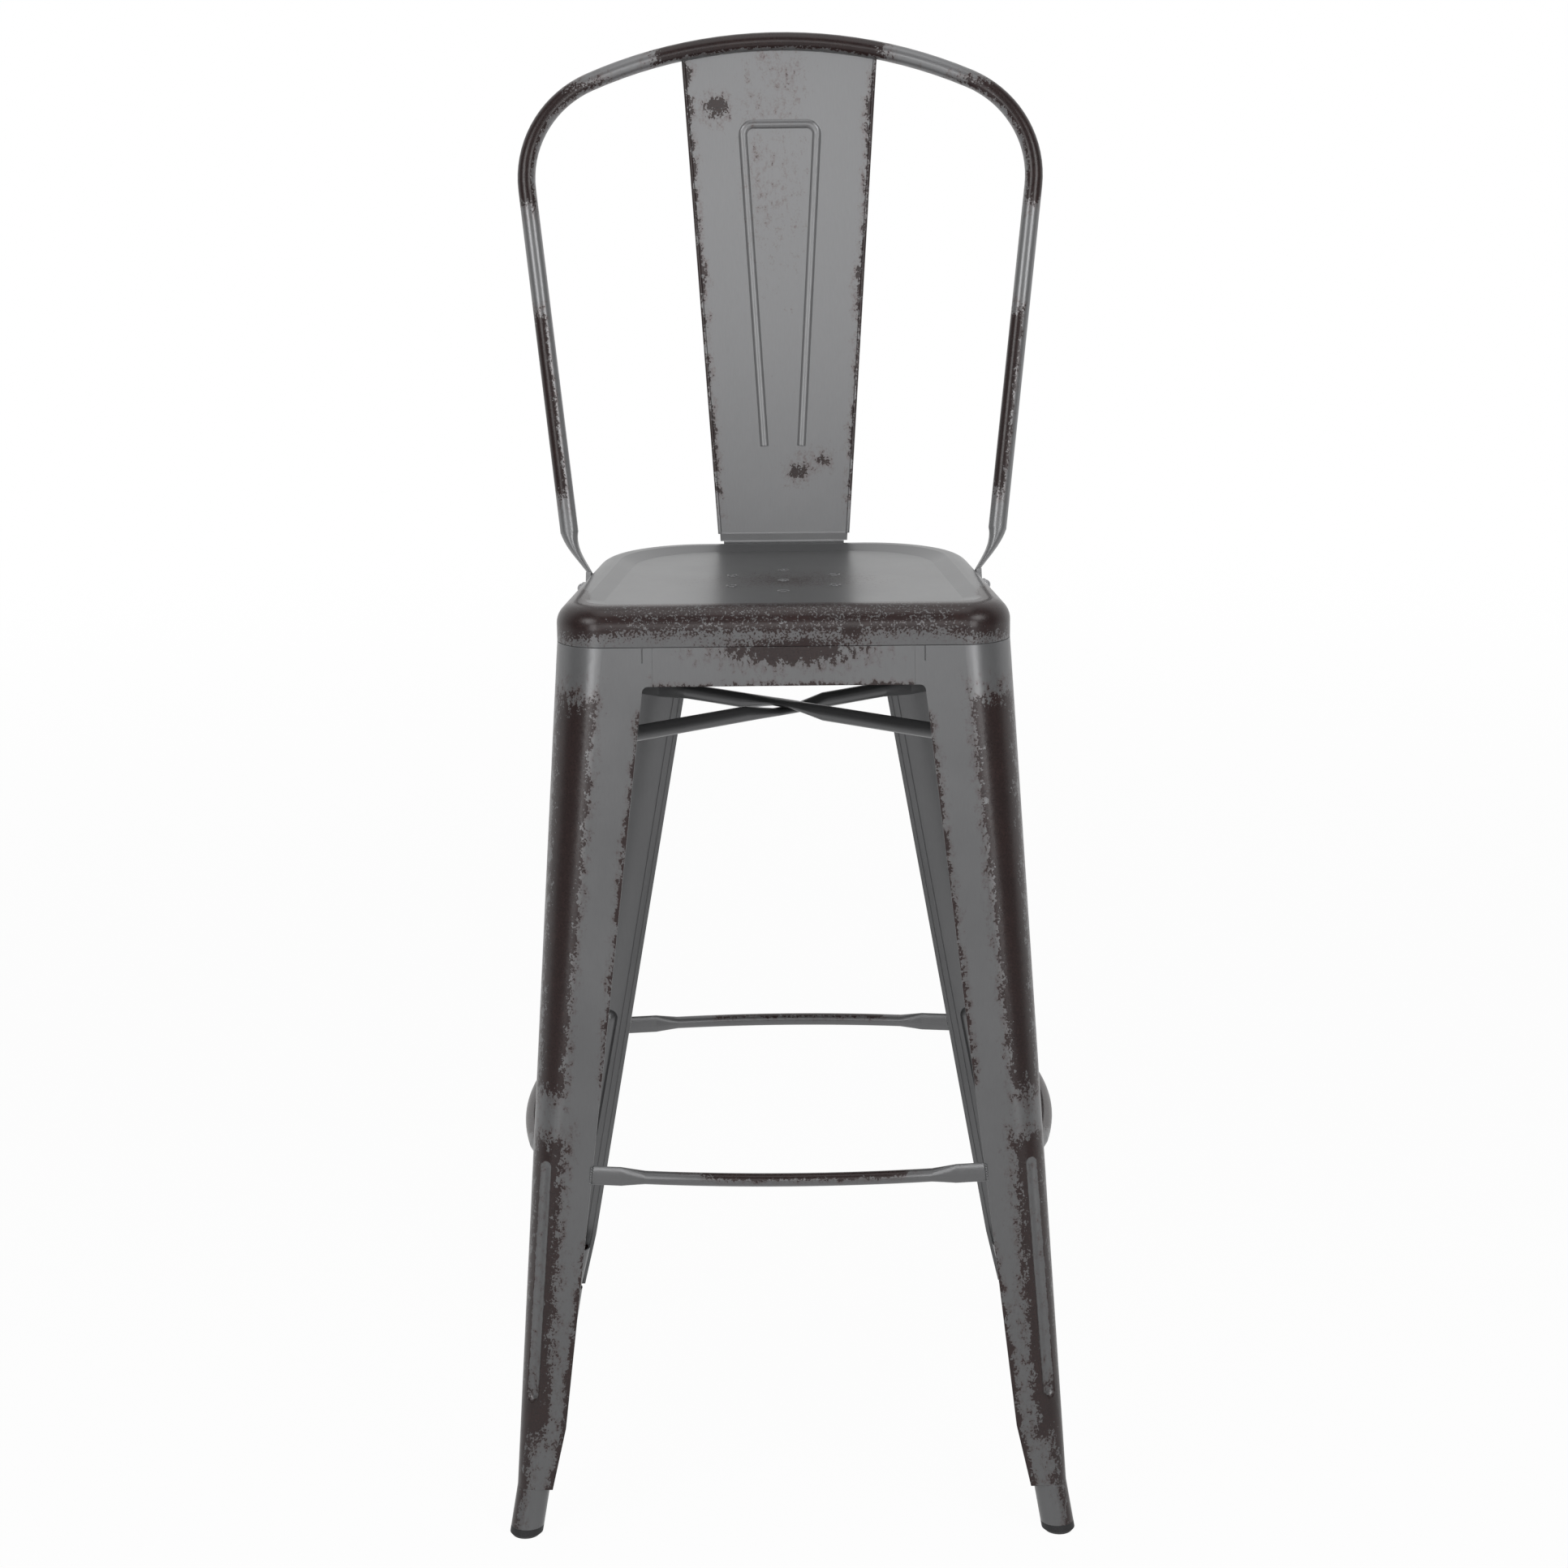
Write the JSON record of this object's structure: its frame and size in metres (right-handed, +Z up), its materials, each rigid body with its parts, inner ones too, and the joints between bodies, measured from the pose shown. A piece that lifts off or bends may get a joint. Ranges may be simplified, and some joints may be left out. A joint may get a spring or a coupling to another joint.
{
  "type": "bar stool with back",
  "caption": "Tall stool of pressed sheet steel with splayed folded legs, bowed foot rails and a tube hoop back with a tapered slat.",
  "frame": {"origin": "on the floor, under the middle of the stance", "axes": "+Z up, -Y towards the front edge of the seat, +X towards the right as seen from the front"},
  "size_m": [0.463, 0.4504, 1.1945],
  "materials": {
    "painted_steel": "satin silver-grey paint, rubbed through to a dark red-brown at the edges",
    "rubber": "matt black",
    "zinc": "plated, slightly dull"
  },
  "bodies": {
    "root": {"seat_pan": "painted_steel", "apron_front": "painted_steel", "apron_rear": "painted_steel", "apron_left": "painted_steel", "apron_right": "painted_steel", "leg_front_left": "painted_steel", "leg_front_right": "painted_steel", "leg_rear_left": "painted_steel", "leg_rear_right": "painted_steel", "foot_sleeve_front_left": "painted_steel", "foot_sleeve_front_right": "painted_steel", "foot_sleeve_rear_left": "painted_steel", "foot_sleeve_rear_right": "painted_steel", "foot_rail_front": "painted_steel", "foot_rail_rear": "painted_steel", "foot_rail_left": "painted_steel", "foot_rail_right": "painted_steel", "brace_tube_upper": "painted_steel", "brace_tube_lower": "painted_steel", "back_hoop": "painted_steel", "back_slat": "painted_steel", "foot_pad_front_left": "rubber", "foot_pad_front_right": "rubber", "foot_pad_rear_left": "rubber", "foot_pad_rear_right": "rubber", "hoop_bolts": "zinc", "hoop_nuts": "zinc", "slat_bolts": "zinc", "slat_nuts": "zinc"}
  },
  "joints": []
}
